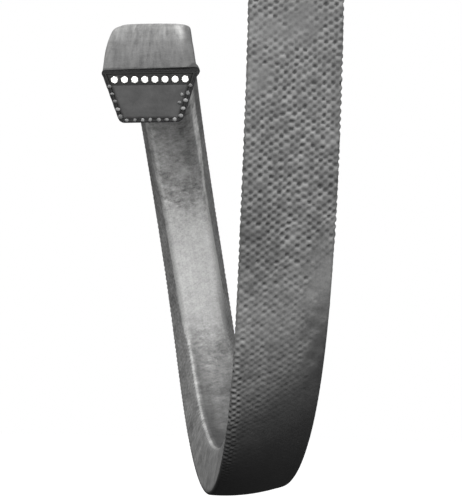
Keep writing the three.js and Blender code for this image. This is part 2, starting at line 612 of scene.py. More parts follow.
class Tree:
    """A node tree that is being built, of a material or of Geometry Nodes."""

    def __init__(self, tree: bpy.types.NodeTree) -> None:
        """Wraps a node tree and empties it."""
        self.tree = tree
        tree.nodes.clear()

    def add(
        self, kind: str, settings: Optional[Settings] = None, inputs: Optional[Sockets] = None
    ) -> bpy.types.Node:
        """Adds a node.

        Args:
            kind: The node's type.
            settings: Its settings, which are set first.
            inputs: Values or wires for its sockets, by name or number.

        Returns:
            The node.
        """
        node = self.tree.nodes.new(kind)
        for key, value in (settings or {}).items():
            setattr(node, key, value)
        for key, value in (inputs or {}).items():
            if isinstance(value, Wire):
                self.tree.links.new(value.socket, node.inputs[key])
            else:
                node.inputs[key].default_value = value
        return node

    def wire(
        self,
        kind: str,
        settings: Optional[Settings] = None,
        inputs: Optional[Sockets] = None,
        output: Union[str, int] = 0,
    ) -> Wire:
        """Adds a node and returns one of its outputs."""
        return Wire(self, self.add(kind, settings, inputs).outputs[output])

    def maths(self, operation: str, *values: Number) -> Wire:
        """Adds a Math node on values."""
        return self.wire("ShaderNodeMath", {"operation": operation}, dict(enumerate(values)))

    def vectors(self, operation: str, inputs: Sockets) -> Wire:
        """Adds a Vector Math node."""
        return self.wire("ShaderNodeVectorMath", {"operation": operation}, inputs)

    def vector(self, *parts: Number) -> Wire:
        """A vector of up to three parts."""
        return self.wire("ShaderNodeCombineXYZ", {}, dict(enumerate(parts)))


@dataclass(frozen=True)
class Grain:
    """One cloudy pattern of a finish: how fine it is, and how it is stretched on each axis."""

    scale: float
    detail: float = 2.0
    rough: float = 0.5
    stretch: Optional[Triple] = None


class Shader(Tree):
    """A material's tree, with the sources and mixes that its finishes use."""

    def __init__(self, name: str) -> None:
        """Starts a material.

        Args:
            name: The material's name.
        """
        self.material = bpy.data.materials.new(name)
        self.material.use_nodes = True
        super().__init__(self.material.node_tree)

    def kept(self, name: str, output: str = "Fac") -> Wire:
        """A number kept on the piece, or a vector from the output of that name."""
        return self.wire("ShaderNodeAttribute", {"attribute_name": name}, output=output)

    def noise(self, place: Wire, grain: Grain) -> Wire:
        """Adds cloudy noise.

        Args:
            place: Where it is read.
            grain: How fine it is.

        Returns:
            A value between 0 and 1.
        """
        if grain.stretch:
            place = self.vectors("MULTIPLY", {0: place, 1: grain.stretch})
        inputs = {"Scale": grain.scale, "Detail": grain.detail, "Roughness": grain.rough}
        return self.wire("ShaderNodeTexNoise", {}, {"Vector": place, **inputs})

    def between(self, factor: Wire, low: Triple, high: Triple) -> Wire:
        """A colour between two, by a factor."""
        inputs = {"Factor": factor, 6: (*low, 1.0), 7: (*high, 1.0)}
        return self.wire("ShaderNodeMix", {"data_type": "RGBA"}, inputs, 2)

    def surface(
        self,
        colour: Wire,
        roughness: Number,
        height: Optional[Wire] = None,
        relief: float = 0.0,
        constants: Optional[Settings] = None,
    ) -> Material:
        """Ends the tree in a Principled surface.

        Args:
            colour: Base colour.
            roughness: Roughness, a wire or a number.
            height: Height of the fine relief, between 0 and 1.
            relief: How high a height of 1 stands, in millimetres.
            constants: Other sockets that are the same all over.

        Returns:
            The finished material.
        """
        inputs: Sockets = {"Base Color": colour, "Roughness": roughness, **(constants or {})}
        if height is not None:
            bump = {"Height": height, "Distance": relief * MM, "Strength": 1.0}
            inputs["Normal"] = self.wire("ShaderNodeBump", {}, bump)
        shader = self.wire("ShaderNodeBsdfPrincipled", {}, inputs)
        self.add("ShaderNodeOutputMaterial", {}, {"Surface": shader})
        return self.material


class Growth(Tree):
    """A Geometry Nodes tree with named inputs, which grows a piece from a plain mesh."""

    NAME = "growth"
    INPUTS: dict[str, type] = {}
    KINDS = {
        float: "NodeSocketFloat",
        int: "NodeSocketInt",
        Material: "NodeSocketMaterial",
    }

    def __init__(self) -> None:
        """Builds the tree, from its named inputs to real geometry with its finish."""
        super().__init__(bpy.data.node_groups.new(self.NAME, "GeometryNodeTree"))
        face = self.tree.interface
        face.new_socket(name="Geometry", in_out="INPUT", socket_type="NodeSocketGeometry")
        for label, kind in self.INPUTS.items():
            face.new_socket(name=label, in_out="INPUT", socket_type=self.KINDS[kind])
        face.new_socket(name="Geometry", in_out="OUTPUT", socket_type="NodeSocketGeometry")
        self.entry = self.add("NodeGroupInput")
        real = self.wire("GeometryNodeRealizeInstances", {}, {"Geometry": self.shape()})
        inputs = {"Geometry": real, "Material": self.given("Finish")}
        dressed = self.wire("GeometryNodeSetMaterial", {}, inputs)
        self.add("NodeGroupOutput", {}, {"Geometry": dressed})

    def shape(self) -> Wire:
        """Adds the nodes that make the piece's shape, and returns its geometry."""
        raise NotImplementedError

    def given(self, label: str) -> Wire:
        """One of the tree's named inputs."""
        return Wire(self, self.entry.outputs[label])

    def named(self, name: str, kind: str = "FLOAT") -> Wire:
        """A value kept on the mesh."""
        return self.wire("GeometryNodeInputNamedAttribute", {"data_type": kind}, {"Name": name})

    def moved(self, geometry: Wire, direction: Wire, distance: Number) -> Wire:
        """Geometry moved along a direction by a distance."""
        offset = self.vectors("SCALE", {0: direction, "Scale": distance})
        return self.wire("GeometryNodeSetPosition", {}, {"Geometry": geometry, "Offset": offset})

    def grow(self, name: str, mesh: Mesh, values: Settings) -> Mesh:
        """Grows a piece.

        Args:
            name: The piece's name.
            mesh: The plain mesh to grow it from.
            values: The tree's inputs by name.

        Returns:
            The grown mesh, with no modifier behind it.
        """
        seedling = bpy.data.objects.new(name + "_seedling", mesh)
        bpy.context.scene.collection.objects.link(seedling)
        modifier = seedling.modifiers.new("growth", "NODES")
        modifier.node_group = self.tree
        for item in self.tree.interface.items_tree:
            if item.in_out == "INPUT" and item.name in values:
                modifier[item.identifier] = values[item.name]
        bpy.context.view_layer.update()
        depsgraph = bpy.context.evaluated_depsgraph_get()
        grown = bpy.data.meshes.new_from_object(seedling.evaluated_get(depsgraph))
        seedling.modifiers.remove(modifier)
        bpy.data.objects.remove(seedling)
        return grown


# ---- Finishes -------------------------------------------------------------------------------------


def grey(value: float) -> Triple:
    """A plain grey."""
    return (value, value, value)


@dataclass(frozen=True)
class ClothFinish:
    """Rubbered cover cloth: grey dust on the threads, black rubber in the pits and on the cut, and the
    painted highlight and shade that the tone and the thread crowns carry.
    """

    name: str = "cover_cloth"
    rubber: Triple = (0.014, 0.014, 0.0145)
    dust: Triple = (0.80, 0.80, 0.79)
    clouds: Grain = Grain(0.20, 3.0, 0.55)
    blots: Grain = Grain(0.62, 3.0, 0.62, (1.0, 1.0, 1.5))
    streaks: Grain = Grain(1.1, 3.0, 0.6, (1.0, 1.0, 0.05))
    grains: Grain = Grain(2.3, 3.0, 0.7)
    mottle: float = 0.85
    even_mottle: float = 0.35
    streak: float = 2.3
    grain: float = 0.95
    crest_dust_and_shading: float = 1.45
    crest_middle: float = 0.35
    pit: float = 0.97
    least_dust: float = 0.012
    relief: float = 0.05
    specular: float = 0.32

    def material(self) -> Material:
        """Builds the material.

        Returns:
            The material, which reads the values kept on the cover.
        """
        tree = Shader(self.name)
        lay = tree.kept("lay", "Vector")
        pit, weave, mottle = (tree.kept(name) for name in ("pit", "weave", "mottle"))
        sleek = (1.0 - weave * 1.5).clamp()
        patterns = (self.clouds, self.blots, self.streaks, self.grains)
        clouds, blots, streaks, grains = (tree.noise(lay, grain) - 0.5 for grain in patterns)
        change = (clouds + blots) * self.mottle * (mottle + self.even_mottle) + grains * self.grain
        change = change + streaks * self.streak * sleek * tree.kept("streaks")
        # Thread crowns paler and the grooves between them darker: painted highlight and painted shade,
        # with dust that differs from thread to thread.
        change = change + (tree.kept("crest_dust_and_shading") - self.crest_middle) * self.crest_dust_and_shading * weave
        dust_and_painted_light = tree.kept("tone") * (1.0 + change) * (1.0 - pit * self.pit)
        fresh = 1.0 - tree.kept("cut")
        factor = ((dust_and_painted_light + self.least_dust) * fresh).clamp()
        colour = tree.between(factor, self.rubber, self.dust)
        roughness = (0.60 + pit * 0.3 + blots * 0.25 - sleek * 0.08).clamp()
        height = grains * 0.6 + blots * 0.5 + streaks * sleek * 0.6 + 0.5
        constants = {"Specular IOR Level": self.specular}
        return tree.surface(colour, roughness, height, self.relief, constants)


@dataclass(frozen=True)
class RubberFinish:
    """Cut or moulded black rubber with a grey bloom, darker where it meets the cover."""

    name: str
    dark: Triple
    pale: Triple
    edge_shade: float = 0.0
    skin_from: float = 0.8
    skin_depth: float = 0.5
    roughness: float = 0.7
    relief: float = 0.06
    specular: float = 0.3
    clouds: Grain = Grain(420.0, 3.0, 0.6)
    specks: Grain = Grain(2600.0, 2.0, 0.7)
    knife: Grain = Grain(1500.0, stretch=(0.25, 1.0, 1.0))

    def _skin(self, tree: Shader) -> Wire:
        """How near a point is to the cover.

        Args:
            tree: The material's tree.

        Returns:
            1 at the cover, 0 well inside.
        """
        parts = tree.add("ShaderNodeSeparateXYZ", {}, {0: tree.kept("section", "Vector")})
        across, height = Wire(tree, parts.outputs[0]), Wire(tree, parts.outputs[1])
        wide = height * math.tan(Section.FLANK) + Section.TOP_WIDTH / 2
        side = (wide - across.maths("ABSOLUTE")) * math.cos(Section.FLANK)
        depth = side.maths("MINIMUM", height + Section.THICKNESS) - self.skin_from
        return (1.0 - depth / self.skin_depth).clamp()

    def material(self) -> Material:
        """Builds the material.

        Returns:
            The material, which reads each point's place in the section.
        """
        tree = Shader(self.name)
        place = tree.wire("ShaderNodeTexCoord", output="Object")
        patterns = (self.clouds, self.specks, self.knife)
        clouds, specks, knife = (tree.noise(place, grain) for grain in patterns)
        bloom = clouds * 0.6 + specks * 0.25 + knife * 0.15
        factor = bloom - self._skin(tree) * self.edge_shade
        colour = tree.between(factor.clamp(), self.dark, self.pale)
        roughness = (self.roughness + (specks - 0.5) * 0.3).clamp()
        relief = clouds * 0.4 + specks * 0.4 + knife * 0.2
        constants = {"Specular IOR Level": self.specular}
        return tree.surface(colour, roughness, relief, self.relief, constants)


@dataclass(frozen=True)
class YarnFinish:
    """Twisted yarn: fine filaments, a little fuzz and a pale sheen."""

    name: str
    shade: Triple
    light: Triple
    uneven: float = 0.6
    relief: float = 0.04
    sheen: float = 0.25
    hairs: Grain = Grain(5200.0, 2.0, 0.6)
    clouds: Grain = Grain(700.0)

    def material(self) -> Material:
        """Builds the material.

        Returns:
            The material, which reads nothing but the point's place.
        """
        tree = Shader(self.name)
        place = tree.wire("ShaderNodeTexCoord", output="Object")
        hairs, clouds = tree.noise(place, self.hairs), tree.noise(place, self.clouds)
        factor = (hairs * 0.6 + (clouds - 0.5) * self.uneven + 0.2).clamp()
        colour = tree.between(factor, self.shade, self.light)
        constants = {"Sheen Weight": self.sheen, "Sheen Roughness": 0.5}
        return tree.surface(colour, 0.62 + hairs * 0.2, hairs, self.relief, constants)


# ---- Cover: two plies of woven cloth --------------------------------------------------------------


@dataclass(frozen=True)
class Patch:
    """A rubbed or dirty patch on the outer face: its middle, its reach and what it changes."""

    around: float
    along: float
    wide: float
    long: float
    weave: float = 0.0
    tone: float = 0.0

    RAGGED = 0.16
    FADE = Profile((0.1, 1.0), (1.2, 0.0))

    def cover(self, around: Array, along: Array) -> Array:
        """Shows where the patch lies.

        Args:
            around: How far round the section each point is.
            along: How far along the belt it is.

        Returns:
            How much of the patch there is at each point, from 0 to 1.
        """
        far = np.hypot((around - self.around) / self.wide, (along - self.along) / self.long)
        uneven = np.sin(around * 1.7 + along * 0.9) + np.sin(along * 1.9 - around * 0.8 + self.along)
        return self.FADE.at(far + self.RAGGED * uneven)


@dataclass(frozen=True)
class Band:
    """A band of the cover: how strong it is round the section, and along the belt."""

    around: Profile
    along: Profile

    def cover(self, around: Array, along: Array) -> Array:
        """How strong the band is at each point."""
        return self.around.at(around) * self.along.at(along)


@dataclass(frozen=True)
class Zones:
    """How much each point belongs to the outer face, the flanks, the painted highlight of their pale
    edge, or the inside.
    """

    outer: Array
    flank: Array
    edge: Array
    inner: Array


class Wear:
    """Where the cover's weave stands out, where dust greys it, where it is rubbed, swollen or clean,
    and where its tone holds painted highlight and shade.

    A profile runs along the belt, but for the first five, and the first one of each band, which run
    round the section from the middle of the outer face.
    """

    RIGHT = Profile((0.0, 0.0), (4.0, 1.0))
    DARK_END_EAR = Profile((6.8, 0.0), (8.2, 3.0))
    OUTER_SHARE = Profile((8.35, 1.0), (8.95, 0.0))
    EDGE_HIGHLIGHT_SHARE = Profile((17.5, 0.0), (18.1, 1.0))
    INNER_SHARE = Profile((17.75, 0.0), (18.65, 1.0))

    # The pale edge beside the inside, a painted highlight on its rounded corners: its reach, and how
    # much further it goes on the right.
    EDGE_HIGHLIGHT_REACH = Profile(
        (0, 0.5), (150, 0.2), (205, 0.25), (220, 1.9), (256, 1.7), (274, 3.8), (310, 3.8), (350, 1.2)
    )
    EDGE_HIGHLIGHT_EXTRA = Profile((205, 0.0), (225, 1.6), (300, 1.6), (340, 0.0))
    EDGE_HIGHLIGHT_START = Profile((244, 0.0), (256, 2.2), (300, 2.4), (340, 0.0))

    # Weave: how far the threads stand out. The front strand's ends along a slanting line.
    SLANT = 1.25
    FRONT_WEAVE = Profile((86, 1.0), (108, 0.0))
    FRONT_FADE = Profile((58, 1.0), (78, 0.5))
    LEFT_WEAVE = Band(
        Profile((-11.0, 0.0), (-7.8, 1.0), (-4.6, 0.0)),
        Profile((78, 0.0), (90, 1.0), (112, 1.0), (130, 0.0)),
    )
    BACK_WEAVE = Profile((145, 0.0), (225, 0.5), (305, 0.0))
    FLANK_WEAVE = Profile((155, 0.22), (215, 0.34), (275, 0.22))
    FLANK_FRONT = 0.35
    LEAST_WEAVE = 0.08
    PRESSED_WEAVE = 0.06
    MOST_WEAVE = 1.1

    # Tone: how grey the cloth is, from its dust and from painted light and shade set along the belt.
    TONE_SLANT = Profile((60, 0.0), (105, SLANT), (150, 0.0))
    # Outer face: dust, with painted light where the front strand turns down (about 62 to 88) and
    # painted shade round the bottom of the bend (about 99 to 165), partly the cleaner rubber there.
    OUTER_TONE = Profile(
        (0, 0.065), (30, 0.065), (50, 0.074), (62, 0.080), (76, 0.116), (88, 0.099), (99, 0.034),
        (112, 0.013), (165, 0.02), (230, 0.14), (330, 0.33), (346, 0.24), (358, 0.17), (372, 0.115),
        (390, 0.078),
    )
    FLANK_TONE = Profile(
        (0, 0.13), (140, 0.18), (200, 0.20), (262, 0.21), (320, 0.14), (394, 0.12)
    )
    # Tone of the pale edge: painted highlight where the inside's rounded corners catch the light.
    EDGE_HIGHLIGHT_TONE = Profile(
        (0, 0.2), (140, 0.25), (165, 0.45), (205, 0.48), (220, 0.42), (256, 0.43), (280, 0.47),
        (310, 0.25),
    )
    # Inside: dust, with a painted sheen over the middle of the back strand (about 202 to 266).
    INNER_TONE = Profile(
        (0, 0.15), (160, 0.05), (172, 0.08), (186, 0.14), (202, 0.23), (215, 0.37), (246, 0.42),
        (254, 0.35), (266, 0.25), (280, 0.24), (394, 0.20),
    )
    LEAST_TONE = 0.013
    # Paler bands along the hook: the first is a painted highlight beside the lap's step, the other two
    # make its right and its left side paler.
    PALE_BANDS_AND_LAP_HIGHLIGHT = (
        Band(
            Profile((4.5, 0.0), (6.0, 0.20), (7.5, 0.0)),
            Profile((300, 0.0), (345, 1.0), (348, 1.0), (386, 0.0)),
        ),
        Band(
            Profile((1.0, 0.0), (6.0, 0.04)),
            Profile((300, 0.0), (345, 1.0), (350, 1.0), (384, 0.0)),
        ),
        Band(Profile((-7.6, 0.03), (-6.0, 0.0)), Profile((300, 0.0), (345, 1.0))),
    )
    UNDER_LAP = Band(
        Profile((6.6, 0.0), (7.4, 0.55)), Profile((300, 0.0), (345, 1.0), (356, 1.0), (378, 0.0))
    )
    # Darker right flank up the back strand; painted shade over the right of the pale edge; darker sides
    # of the inside.
    DARKER_RIGHT_FLANK = Band(RIGHT, Profile((190, 0.0), (230, 0.3)))
    SHADED_EDGE = Band(RIGHT, Profile((214, 0.65), (236, 0.0)))
    DIM_SIDES = Band(Profile((19.0, 1.0), (22.4, 0.0)), Profile((206, 0.36), (226, 0.0)))
    DIM_RIGHT = Band(Profile((19.0, 1.0), (22.4, 0.0)), Profile((248, 0.0), (258, 0.13)))
    # Darker near both cut ends, along a wavy line that rises by the ear.
    DARK_NEAR_CUT = Profile((391.1, 0.0), (392.8, 0.76))
    DARK_NEAR_UPPER_END = Profile((1.1, 0.76), (2.8, 0.0))
    DARK_END_WAVES = ((0.30, 1.9, 0.0), (0.22, 4.7, 1.0))

    # Mottle and streaks.
    MOTTLE = Profile(
        (0, 1.0), (130, 0.8), (165, 2.0), (206, 1.7), (218, 0.2), (244, 0.2), (258, 2.0), (290, 2.0),
        (320, 0.5),
    )
    FLANK_MOTTLE = 1.7
    STREAKS = Profile((285, 0.0), (330, 0.80))
    LEAST_STREAKS = 0.20

    # Swelling: the flare at both cuts, the pinched ear beside the lap, and the lap itself.
    FLARE = Band(
        Profile((6.95, 0.0), (8.25, 1.0), (9.55, 0.0)),
        Profile((0.2, 0.10), (2.0, 0.0), (392.0, 0.0), (393.8, 0.10)),
    )
    EAR = Band(Profile((7.15, 0.0), (8.15, 0.40), (9.15, 0.0)), Profile((387.6, 0.0), (392.4, 1.0)))
    LAP = Band(
        Profile((6.2, 0.0), (6.8, 1.0), (16.8, 1.0), (17.6, 0.0)),
        Profile((20, 0.0), (40, 0.04), (295, 0.04), (330, 0.14)),
    )

    PATCHES = (
        Patch(1.0, 25.5, 4.4, 5.0, weave=-0.80, tone=-0.10),
        Patch(-6.0, 27.5, 4.5, 3.6, weave=-0.70, tone=0.10),
        Patch(-6.5, 35.5, 4.2, 4.6, weave=-0.70, tone=0.10),
        Patch(3.0, 46.0, 6.0, 5.0, tone=0.12),
        Patch(-3.0, 47.0, 5.0, 6.0, tone=-0.20),
        Patch(7.0, 71.0, 4.2, 9.5, weave=-1.0, tone=0.10),
        Patch(7.0, 51.0, 4.0, 9.0, tone=-0.22),
        Patch(-6.0, 62.0, 6.5, 11.0, weave=0.1, tone=-0.36),
        Patch(-7.0, 80.0, 4.0, 7.0, tone=0.25),
        Patch(0.0, 80.0, 6.0, 10.0, weave=-0.15, tone=0.05),
        Patch(7.0, 28.0, 5.0, 14.0, tone=-0.12),
        Patch(8.0, 84.0, 4.5, 10.0, weave=-0.5, tone=-0.60),
    )

    def over(self, around: Array, along: Array) -> dict[str, Array]:
        """Works out how the cover is worn.

        Args:
            around: How far round the section each point is.
            along: How far along the belt it is.

        Returns:
            How far the threads stand out (`weave`), how grey the cloth is with its dust and its painted
            highlight and shade (`tone`), how blotched (`mottle`) and streaked (`streaks`) the dust is,
            and how far the cover stands out (`swell`).
        """
        zones = self._zones(around, along)
        flare = self.FLARE.cover(np.abs(around), along)
        return {
            "weave": self._weave(zones, around, along),
            "tone": self._tone(zones, around, along),
            "mottle": np.maximum(self.MOTTLE.at(along), zones.flank * self.FLANK_MOTTLE),
            "streaks": self.LEAST_STREAKS + self.STREAKS.at(along) * (1.0 - zones.inner),
            "swell": flare + self.EAR.cover(around, along) + self.LAP.cover(around, along),
        }

    def _zones(self, around: Array, along: Array) -> Zones:
        """Tells the sides of the belt apart.

        Args:
            around: How far round the section each point is.
            along: How far along the belt it is.

        Returns:
            Shares that add up to 1 at every point.
        """
        off, right = np.abs(around), around > 0
        outer = self.OUTER_SHARE.at(off)
        inner = self.INNER_SHARE.at(off + right * self.EDGE_HIGHLIGHT_START.at(along))
        rim = off + self.EDGE_HIGHLIGHT_REACH.at(along) + right * self.EDGE_HIGHLIGHT_EXTRA.at(along)
        edge = self.EDGE_HIGHLIGHT_SHARE.at(rim) * (1.0 - inner)
        return Zones(outer, 1.0 - outer - edge - inner, edge, inner)

    def _weave(self, zones: Zones, around: Array, along: Array) -> Array:
        """Works out how far the threads stand out.

        Args:
            zones: The sides that each point belongs to.
            around: How far round the section it is.
            along: How far along the belt it is.

        Returns:
            A height from 0, pressed flat, to 1.
        """
        front = self.FRONT_WEAVE.at(along + around * self.SLANT) * self.FRONT_FADE.at(along)
        left = self.LEFT_WEAVE.cover(around, along)
        least = np.full_like(front, self.LEAST_WEAVE)
        strand = np.maximum.reduce([front, left, self.BACK_WEAVE.at(along), least])
        for patch in self.PATCHES:
            strand = strand + patch.weave * patch.cover(around, along)
        strand = np.clip(strand, self.PRESSED_WEAVE, self.MOST_WEAVE)
        flank = self.FLANK_WEAVE.at(along) + self.FLANK_FRONT * front
        pressed = (zones.edge + zones.inner) * self.PRESSED_WEAVE
        return zones.outer * strand + zones.flank * flank + pressed

    def _tone(self, zones: Zones, around: Array, along: Array) -> Array:
        """Works out how grey the cloth is, from its dust and from painted highlight and painted shade.

        Args:
            zones: The sides that each point belongs to.
            around: How far round the section it is.
            along: How far along the belt it is.

        Returns:
            A tone from 0, clean or in painted shade, to 1, grey with dust or painted highlight.
        """
        face = self.OUTER_TONE.at(along + around * self.TONE_SLANT.at(along))
        for patch in self.PATCHES:
            face = face * (1.0 + patch.tone * patch.cover(around, along))
        face = face + sum(band.cover(around, along) for band in self.PALE_BANDS_AND_LAP_HIGHLIGHT)
        face = face * (1.0 - self.UNDER_LAP.cover(around, along))
        flank = self.FLANK_TONE.at(along) * (1.0 - self.DARKER_RIGHT_FLANK.cover(around, along))
        edge = self.EDGE_HIGHLIGHT_TONE.at(along) * (1.0 - self.SHADED_EDGE.cover(around, along))
        off = np.abs(around)
        dim = self.DIM_SIDES.cover(off, along) + self.DIM_RIGHT.cover(off, along) * np.sign(around)
        inner = self.INNER_TONE.at(along) * (1.0 - dim)
        dust_and_painted_light = zones.outer * np.maximum(face, self.LEAST_TONE) + zones.flank * flank
        dust_and_painted_light = dust_and_painted_light + zones.edge * edge + zones.inner * inner
        waves = (high * np.sin(around * rate + start) for high, rate, start in self.DARK_END_WAVES)
        near_cut = self.DARK_NEAR_CUT.at(along + self.DARK_END_EAR.at(around) + sum(waves))
        return dust_and_painted_light * (1.0 - np.maximum(near_cut, self.DARK_NEAR_UPPER_END.at(along)))


class WeaveGrowth(Growth):
    """Raises the threads of a plain bias-cut weave on a smooth wall."""

    NAME = "bias_weave"
    INPUTS = {
        "Thread pitch": float,
        "Thread angle": float,
        "Thread height": float,
        "Pit depth": float,
        "Pit size": float,
        "Wander": float,
        "Finish": Material,
    }
    CROWN_SHARE = 0.55
    WARP_STRAY = 0.17
    WEFT_STRAY = 0.23
    LEAST_CREST = 0.4
    CREST_CHANCE = 1.2
    FAINT_PITS = 0.40
    LEAST_PIT = 0.55
    PIT_CHANCE = 0.8
    PIT_EDGE = 1.7
    FILL_SCALE = 0.28
    FILLED_BELOW = 0.24
    FILL_EDGE = 5.0

    def _noise(self, lay: Wire, scale: float) -> Wire:
        """Cloudy noise between 0 and 1."""
        return self.wire("ShaderNodeTexNoise", {}, {"Vector": lay, "Scale": scale, "Detail": 2.0})

    def _strayed(self, across: Wire, lay: Wire, scale: float) -> Wire:
        """Distance across one set of threads, which stray a little from their places.

        Args:
            across: Distance across the set, in millimetres.
            lay: Where the cloth lies.
            scale: How quickly the threads stray.

        Returns:
            The distance in threads.
        """
        stray = (self._noise(lay, scale) - 0.5) * self.given("Wander")
        return across / self.given("Thread pitch") + stray

    def _thread(self, across: Wire, other: Wire, sign: float) -> Wire:
        """Height of one set of threads.

        Args:
            across: Distance across the threads, in threads.
            other: Distance across the other set, in threads.
            sign: 1 for the set that passes over first, -1 for the other.

        Returns:
            The threads' round backs, which pass over and under the other set.
        """
        number = across.maths("FLOOR")
        crown = ((across - number - 0.5) * math.pi).maths("COSINE")
        even = (number.maths("MODULO", 2.0).maths("ABSOLUTE")) * -2.0 + 1.0
        wave = (other * math.pi).maths("SINE") * even * sign
        return crown * self.CROWN_SHARE + wave * (1.0 - self.CROWN_SHARE)

    def _chance(self, row: Wire, column: Wire) -> Wire:
        """A number from 0 to 1 that is different for each place in the weave."""
        inputs = {"Vector": self.vector(row, column)}
        return self.wire("ShaderNodeTexWhiteNoise", {}, inputs, output="Value")

    def _pits(self, warp: Wire, weft: Wire, lay: Wire) -> Wire:
        """The pits between the threads, some of them filled.

        Args:
            warp: Distance across the warp, in threads.
            weft: Distance across the weft, in threads.
            lay: Where the cloth lies.

        Returns:
            The depth of the pits, from 0 to 1.
        """
        row, column = (warp + 0.5).maths("FLOOR"), (weft + 0.5).maths("FLOOR")
        far = (warp - row) ** 2.0 + (weft - column) ** 2.0
        faint = (row + column).maths("MODULO", 2.0).maths("ABSOLUTE") * self.FAINT_PITS
        open_share = ((self._noise(lay, self.FILL_SCALE) - self.FILLED_BELOW) * self.FILL_EDGE).clamp()
        deep = self.LEAST_PIT + self._chance(row, column) * self.PIT_CHANCE
        size = self.given("Pit size")
        shape = ((1.0 - far / (size * size)) * self.PIT_EDGE).clamp()
        return shape * (deep * open_share * (1.0 - faint) * self.named("weave")).clamp()

    def shape(self) -> Wire:
        """Adds the nodes.

        Returns:
            The wall with its threads raised, and their `pit` and `crest_dust_and_shading` kept on it.
        """
        angle = self.given("Thread angle")
        climb = self.named("along") * angle.maths("COSINE")
        shift = self.named("around") * angle.maths("SINE")
        lay = self.named("lay", "FLOAT_VECTOR")
        warp = self._strayed(climb - shift, lay, self.WARP_STRAY)
        weft = self._strayed(climb + shift, lay, self.WEFT_STRAY)
        rise = self._thread(warp, weft, 1.0).maths("MAXIMUM", self._thread(weft, warp, -1.0))
        pit = self._pits(warp, weft, lay)
        chance = self._chance(warp.maths("FLOOR"), weft.maths("FLOOR"))
        # Painted highlight on the thread crowns and painted shade in the grooves, each thread by its
        # own chance.
        crest_dust_and_shading = rise * (self.LEAST_CREST + chance * self.CREST_CHANCE)
        lift = rise * self.given("Thread height") * self.named("weave")
        lift = lift - pit * self.given("Pit depth")
        wall = self.moved(self.given("Geometry"), self.named("out", "FLOAT_VECTOR"), lift * MM)
        settings = {"data_type": "FLOAT", "domain": "POINT"}
        for name, value in (("pit", pit), ("crest_dust_and_shading", crest_dust_and_shading)):
            inputs = {"Geometry": wall, "Name": name, "Value": value}
            wall = self.wire("GeometryNodeStoreNamedAttribute", settings, inputs)
        return wall


@dataclass
class Cover:
    """The cover: an outer ply with its woven face and an inner ply under it."""

    form: Form
    wear: Wear = Wear()
    outer_rows: float = 0.27
    hidden_rows: float = 2.0
    face: Spacing = Spacing(outer=0.24, flank=0.6, inner=0.8, corner_points=4)
    plain: Spacing = Spacing(outer=1.5, flank=1.5, inner=1.5, corner_points=3)
    sink: float = 0.06
    sharp_degrees: float = 75.0
    thread_pitch: float = 1.076
    thread_angle: float = math.radians(38.7)
    thread_height: float = 0.17
    pit_depth: float = 0.16
    pit_size: float = 0.38
    wander: float = 1.5

    def _values(self, loop: Loop, rows: Array) -> dict[str, Array]:
        """Named values of an outer wall.

        Args:
            loop: The wall's outline.
            rows: Its distances along the belt.

        Returns:
            Values for each vertex, row by row.
        """
        frames = self.form.run.at(rows)
        around, along = np.broadcast_arrays(loop.around[None], rows[:, None])
        radius = loop.around.max() / math.pi
        lay = np.concatenate([unit(around / radius) * radius, along[..., None]], axis=-1)
        across = frames.across[:, None] * loop.normals[None, :, :1]
        out = across + frames.outward[:, None] * loop.normals[None, :, 1:]
        values = {"around": around, "along": along, "lay": lay, "out": out}
        values.update(self.wear.over(around, along))
        return {key: value.reshape(-1, *value.shape[2:]) for key, value in values.items()}

    def _sleeve(
        self, length: Length, inset: float, spacing: Spacing, row_gap: float, worn: bool
    ) -> Mesh:
        """A closed sleeve of one ply.

        Args:
            length: Which length of the belt.
            inset: How far its outer wall lies inside the belt's surface.
            spacing: How far apart the outer wall's points lie round the section.
            row_gap: How far apart they lie along the belt.
            worn: Whether the outer wall is swollen.

        Returns:
            The sleeve with its outer wall, inner wall and both ends, and its named values.
        """
        draft = Draft()
        section = self.form.section
        loop = section.outline(inset, spacing)
        lining = section.outline(inset + section.PLY - self.sink, self.plain)
        rows = length.rows(row_gap)
        values = self._values(loop, rows)
        wall = self.form.sweep(loop.points, rows)
        if worn:
            wall = wall + (values["out"] * values["swell"][:, None] * MM).reshape(wall.shape)
        outer = draft.wall(wall)
        hidden = self.form.sweep(lining.points, length.rows(self.hidden_rows))
        inner = draft.wall(hidden, inward=True)
        draft.close([loop.points, lining.points], [outer, inner])
        for key, value in values.items():
            spare = np.zeros((inner.size, *value.shape[1:]))
            values[key] = np.concatenate([value, spare])
        return draft.mesh("sleeve", values)

    def build(self, cloth: Material, under: Material) -> None:
        """Builds both plies over every length.

        Args:
            cloth: Finish of the outer ply.
            under: Finish of the inner ply.
        """
        growth = WeaveGrowth()
        sizes = {
            "Thread pitch": self.thread_pitch,
            "Thread angle": self.thread_angle,
            "Thread height": self.thread_height,
            "Pit depth": self.pit_depth,
            "Pit size": self.pit_size,
            "Wander": self.wander,
            "Finish": cloth,
        }
        run, inset = self.form.run, Section.PLY + Section.FILM
        for length in LENGTHS:
            smooth = self._sleeve(length, self.sink, self.face, self.outer_rows, worn=True)
            woven = growth.grow("cover", smooth, sizes)
            piece = finish_piece(f"outer_cover_{length.name}", woven, sharp_degrees=self.sharp_degrees)
            length.hand_over(piece, run, "outer_ply", Slot.OUTER_PLY)

            ply = self._sleeve(length, inset, self.plain, self.hidden_rows, worn=False)
            piece = finish_piece(f"inner_cover_{length.name}", ply, under)
            length.hand_over(piece, run, "inner_ply", Slot.INNER_PLY)


# ---- Body: gum bed, cords and core ----------------------------------------------------------------


